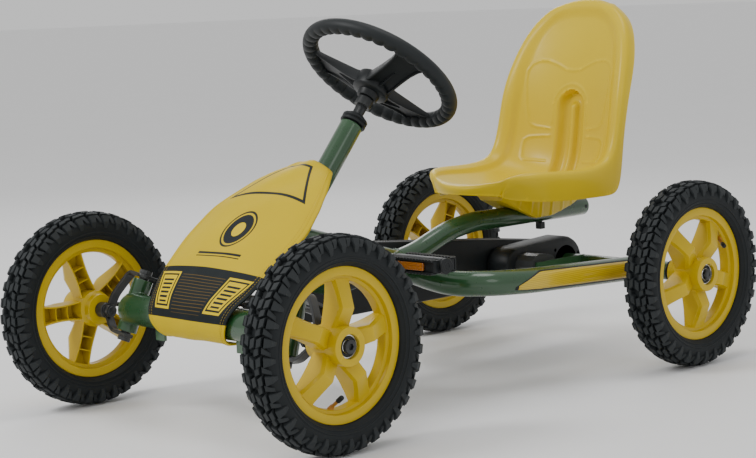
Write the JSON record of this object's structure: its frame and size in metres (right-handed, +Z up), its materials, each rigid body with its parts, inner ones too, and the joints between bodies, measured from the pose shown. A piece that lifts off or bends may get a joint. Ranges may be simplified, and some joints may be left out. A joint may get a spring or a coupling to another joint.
{
  "type": "pedal go kart",
  "caption": "Child's pedal go kart with a tube frame, spoked wheels, a swinging front beam, chain drive and a sliding bucket seat.",
  "frame": {"origin": "on the ground, midway between the front and rear axles and on the kart's middle plane", "axes": "-Y is forwards, +X is the rider's left, +Z is up"},
  "size_m": [0.6846, 1.1492, 0.633],
  "materials": {
    "green_paint": "glossy dark green paint",
    "yellow_plastic": "smooth yellow moulded plastic",
    "black_plastic": "fine-grained black moulded plastic",
    "tyre_rubber": "matt black rubber",
    "bright_steel": "zinc-plated steel",
    "black_steel": "black powder-coated steel",
    "orange_reflector": "clear-faced orange reflector",
    "yellow_fabric": "coated yellow cover cloth with a plain black band"
  },
  "bodies": {
    "frame": {"main_tube": "green_paint", "head_tube": "green_paint", "front_down_tube": "green_paint", "seat_tube": "green_paint", "side_tube_left": "green_paint", "side_tube_right": "green_paint", "axle_housing_left": "green_paint", "axle_housing_right": "green_paint", "axle_bush_left": "black_plastic", "axle_bush_right": "black_plastic", "torque_arm": "green_paint", "hub_bracket": "black_steel", "upper_steering_bush": "black_plastic", "lower_steering_bush": "black_plastic", "crank_housing": "green_paint", "chain": "black_steel", "chain_guard": "black_plastic", "hub_cover": "black_plastic", "hood_cover": "yellow_fabric", "swing_bolt": "bright_steel"},
    "front_axle": {"front_beam": "green_paint", "beam_cover": "yellow_fabric"},
    "steering": {"steering_wheel": "black_plastic", "steering_shaft": "black_steel", "pitman_arm": "black_steel"},
    "steering_knuckle_left": {"knuckle_left": "black_steel", "kingpin_left": "bright_steel", "spindle_bolt_left": "black_steel", "spindle_nut_left": "black_steel"},
    "steering_link_left": {"tie_rod_left": "black_steel"},
    "front_wheel_left": {"tyre_front_left": "tyre_rubber", "rim_front_left": "yellow_plastic", "bearing_front_left": "bright_steel"},
    "steering_knuckle_right": {"knuckle_right": "black_steel", "kingpin_right": "bright_steel", "spindle_bolt_right": "black_steel", "spindle_nut_right": "black_steel"},
    "steering_link_right": {"tie_rod_right": "black_steel"},
    "front_wheel_right": {"tyre_front_right": "tyre_rubber", "rim_front_right": "yellow_plastic", "bearing_front_right": "bright_steel"},
    "rear_wheel_left": {"tyre_rear_left": "tyre_rubber", "rim_rear_left": "yellow_plastic", "bearing_rear_left": "bright_steel"},
    "rear_drive": {"rear_axle": "bright_steel", "rear_sprocket": "bright_steel", "axle_nut_left": "black_steel", "axle_nut_right": "black_steel", "tyre_rear_right": "tyre_rubber", "rim_rear_right": "yellow_plastic", "bearing_rear_right": "bright_steel"},
    "crank_set": {"crank": "bright_steel", "chainring": "bright_steel"},
    "foot_pedal_left": {"pedal_left": "black_plastic", "pedal_reflector_left": "orange_reflector"},
    "foot_pedal_right": {"pedal_right": "black_plastic", "pedal_reflector_right": "orange_reflector"},
    "seat": {"seat_shell": "yellow_plastic", "seat_saddle": "yellow_plastic", "seat_clamp_screw": "black_plastic"}
  },
  "joints": [
    {"name": "front_axle_swing", "type": "hinge", "parent": "frame", "child": "front_axle", "pos_m": [0, -0.4146, 0.168], "axis": [0, 1, 0], "range_deg": [-8, 8]},
    {"name": "steering_column_turn", "type": "hinge", "parent": "frame", "child": "steering", "pos_m": [0, -0.0179, 0.5239], "axis": [0, 0.6468, 0.7627], "range_deg": [-30, 30]},
    {"name": "kingpin_turn_left", "type": "hinge", "parent": "front_axle", "child": "steering_knuckle_left", "pos_m": [0.192, -0.4004, 0.171], "axis": [-0.1179, 0.3648, 0.9236], "range_deg": [-20.2, 20.2]},
    {"name": "steering_link_turn_left", "type": "hinge", "parent": "steering_knuckle_left", "child": "steering_link_left", "pos_m": [0.16734, -0.31945, 0.17994], "axis": [-0.1179, 0.3648, 0.9236], "range_deg": [-25.6, 25.6]},
    {"name": "front_wheel_spin_left", "type": "hinge", "parent": "steering_knuckle_left", "child": "front_wheel_left", "pos_m": [0.3015, -0.4146, 0.16], "axis": [1, 0, 0], "continuous": true},
    {"name": "kingpin_turn_right", "type": "hinge", "parent": "front_axle", "child": "steering_knuckle_right", "pos_m": [-0.192, -0.4004, 0.171], "axis": [0.1179, 0.3648, 0.9236], "range_deg": [-20.2, 20.2]},
    {"name": "steering_link_turn_right", "type": "hinge", "parent": "steering_knuckle_right", "child": "steering_link_right", "pos_m": [-0.16734, -0.31945, 0.17994], "axis": [0.1179, 0.3648, 0.9236], "range_deg": [-25.6, 25.6]},
    {"name": "front_wheel_spin_right", "type": "hinge", "parent": "steering_knuckle_right", "child": "front_wheel_right", "pos_m": [-0.3015, -0.4146, 0.16], "axis": [1, 0, 0], "continuous": true},
    {"name": "rear_wheel_spin_left", "type": "hinge", "parent": "frame", "child": "rear_wheel_left", "pos_m": [0.307, 0.4146, 0.16], "axis": [1, 0, 0], "continuous": true},
    {"name": "rear_axle_spin", "type": "hinge", "parent": "frame", "child": "rear_drive", "pos_m": [0, 0.4146, 0.16], "axis": [1, 0, 0], "continuous": true},
    {"name": "crank_turn", "type": "hinge", "parent": "frame", "child": "crank_set", "pos_m": [0, -0.15, 0.188], "axis": [1, 0, 0], "continuous": true},
    {"name": "pedal_turn_left", "type": "hinge", "parent": "crank_set", "child": "foot_pedal_left", "pos_m": [0.1365, -0.069, 0.22238], "axis": [1, 0, 0], "continuous": true},
    {"name": "pedal_turn_right", "type": "hinge", "parent": "crank_set", "child": "foot_pedal_right", "pos_m": [-0.1365, -0.231, 0.15362], "axis": [1, 0, 0], "continuous": true},
    {"name": "seat_slide", "type": "slide", "parent": "frame", "child": "seat", "axis": [0, 1, 0], "range_m": [-0.03, 0.05]}
  ],
  "couplings": [
    {"joint": "kingpin_turn_left", "follows": "steering_column_turn", "ratio": 0.667},
    {"joint": "kingpin_turn_right", "follows": "steering_column_turn", "ratio": 0.667},
    {"joint": "steering_link_turn_left", "follows": "steering_column_turn", "ratio": -0.845},
    {"joint": "steering_link_turn_right", "follows": "steering_column_turn", "ratio": -0.845},
    {"joint": "crank_turn", "follows": "rear_axle_spin", "ratio": 0.58333}
  ]
}
